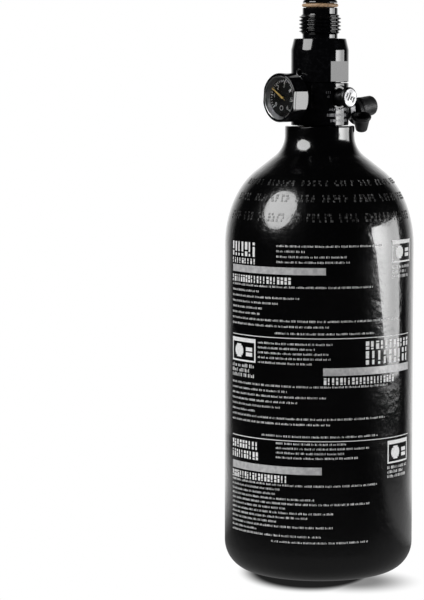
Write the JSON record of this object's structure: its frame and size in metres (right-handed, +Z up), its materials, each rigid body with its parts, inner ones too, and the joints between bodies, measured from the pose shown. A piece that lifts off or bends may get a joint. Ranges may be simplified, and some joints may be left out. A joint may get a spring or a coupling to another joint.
{
  "type": "high-pressure air cylinder with preset regulator",
  "caption": "Round-shouldered aluminium air cylinder with a screw-in preset regulator, dial gauge, burst plugs, capped fill nipple and threaded outlet.",
  "frame": {"origin": "centre of the base, on the surface the cylinder stands on", "axes": "+Z up along the cylinder's axis, -Y towards the front of the printed panel, +X to its right"},
  "size_m": [0.0944, 0.0944, 0.2873],
  "materials": {
    "black_paint": "gloss black paint on aluminium",
    "black_anodised": "black anodised, satin",
    "tan_seal": "tan polyurethane O-ring",
    "black_seal": "black rubber seal",
    "nickel": "nickel plated",
    "steel": "turned stainless steel",
    "spring_steel": "spring steel",
    "brass": "turned brass",
    "bronze": "sintered bronze",
    "copper": "copper alloy",
    "white_plastic": "hard seat plastic",
    "dial_black": "matt black dial with white marks",
    "pointer_gold": "gold coloured pointer",
    "clear_lens": "clear polycarbonate",
    "black_rubber": "moulded black rubber"
  },
  "bodies": {
    "cylinder": {"cylinder_shell": "black_paint", "neck_o_ring": "black_seal", "regulator_body": "black_anodised", "bonnet": "black_anodised", "inlet_filter": "bronze", "valve_seat": "white_plastic", "seat_retainer": "brass", "spring_shim": "spring_steel", "spring_washer_1": "spring_steel", "spring_washer_2": "spring_steel", "spring_washer_3": "spring_steel", "spring_washer_4": "spring_steel", "spring_washer_5": "spring_steel", "spring_washer_6": "spring_steel", "valve_retainer": "brass", "valve_pin_spring": "spring_steel", "nose_o_ring": "tan_seal", "gauge_stem": "brass", "gauge_o_ring": "black_seal", "gauge_case": "black_anodised", "gauge_bourdon_coil": "copper", "gauge_dial": "dial_black", "gauge_lens": "clear_lens", "gauge_bezel": "black_anodised", "low_burst_plug": "nickel", "low_burst_disc": "copper", "low_burst_washer": "brass", "high_burst_plug": "nickel", "high_burst_disc": "copper", "high_burst_washer": "brass", "fill_nipple": "steel", "fill_nipple_o_ring": "black_seal"},
    "outlet_pin": {"valve_pin": "steel", "valve_pin_seal": "black_seal"},
    "regulator_piston": {"piston": "steel", "piston_head_o_ring": "black_seal", "piston_stem_o_ring": "black_seal"},
    "pointer": {"gauge_pointer": "pointer_gold"},
    "poppet": {"check_poppet": "brass", "check_spring": "spring_steel"},
    "cap": {"dust_cap": "black_rubber"},
    "tether": {"cap_tether": "black_rubber"}
  },
  "joints": [
    {"name": "valve_pin_press", "type": "slide", "parent": "cylinder", "child": "outlet_pin", "axis": [0, 0, -1], "range_m": [0, 0.003], "stiffness_N_per_m": 800, "deforming": ["valve_pin_spring"]},
    {"name": "piston_travel", "type": "slide", "parent": "cylinder", "child": "regulator_piston", "axis": [0, 0, -1], "range_m": [0, 0.0008], "stiffness_N_per_m": 20000, "deforming": ["spring_washer_1", "spring_washer_2", "spring_washer_3", "spring_washer_4", "spring_washer_5", "spring_washer_6"]},
    {"name": "pointer_sweep", "type": "hinge", "parent": "cylinder", "child": "pointer", "pos_m": [-0.01836, -0.01712, 0.2378], "axis": [-0.7314, -0.682, 0], "range_deg": [-202, 68]},
    {"name": "check_poppet_open", "type": "slide", "parent": "cylinder", "child": "poppet", "axis": [-0.8121, -0.5687, -0.1305], "range_m": [0, 0.0008], "stiffness_N_per_m": 300},
    {"name": "cap_pull", "type": "slide", "parent": "cylinder", "child": "cap", "axis": [0.8121, 0.5687, 0.1305], "range_m": [0, 0.01]},
    {"name": "tether_swivel", "type": "hinge", "parent": "cylinder", "child": "tether", "pos_m": [0.01175, 0.00823, 0.231], "axis": [0.8121, 0.5687, 0.1305], "range_deg": [-60, 10]}
  ]
}
